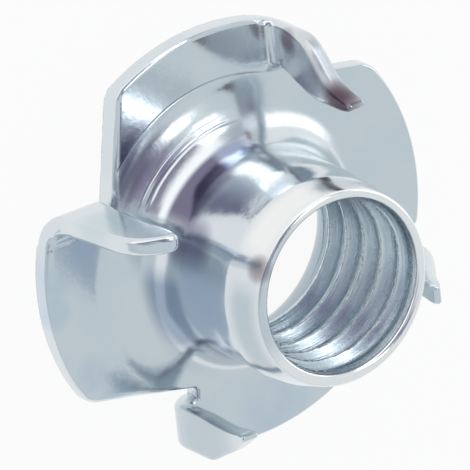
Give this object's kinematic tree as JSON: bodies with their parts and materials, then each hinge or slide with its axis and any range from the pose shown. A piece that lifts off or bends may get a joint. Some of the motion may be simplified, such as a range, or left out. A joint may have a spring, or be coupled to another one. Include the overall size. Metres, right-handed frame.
{
  "type": "tee nut",
  "caption": "Stamped tee nut: a threaded barrel on a round flange, with claws bent up from the flange to bite into wood.",
  "frame": {"origin": "centre of the flange's flat back, on the axis of the bore", "axes": "+Z along the bore, from the flange to the mouth of the barrel; +X through the root of one claw"},
  "size_m": [0.0224, 0.0224, 0.0106],
  "materials": {
    "zinc_plate": "bright zinc plating on mild steel sheet, slightly blue"
  },
  "bodies": {
    "root": {"tee_nut": "zinc_plate"}
  },
  "joints": []
}
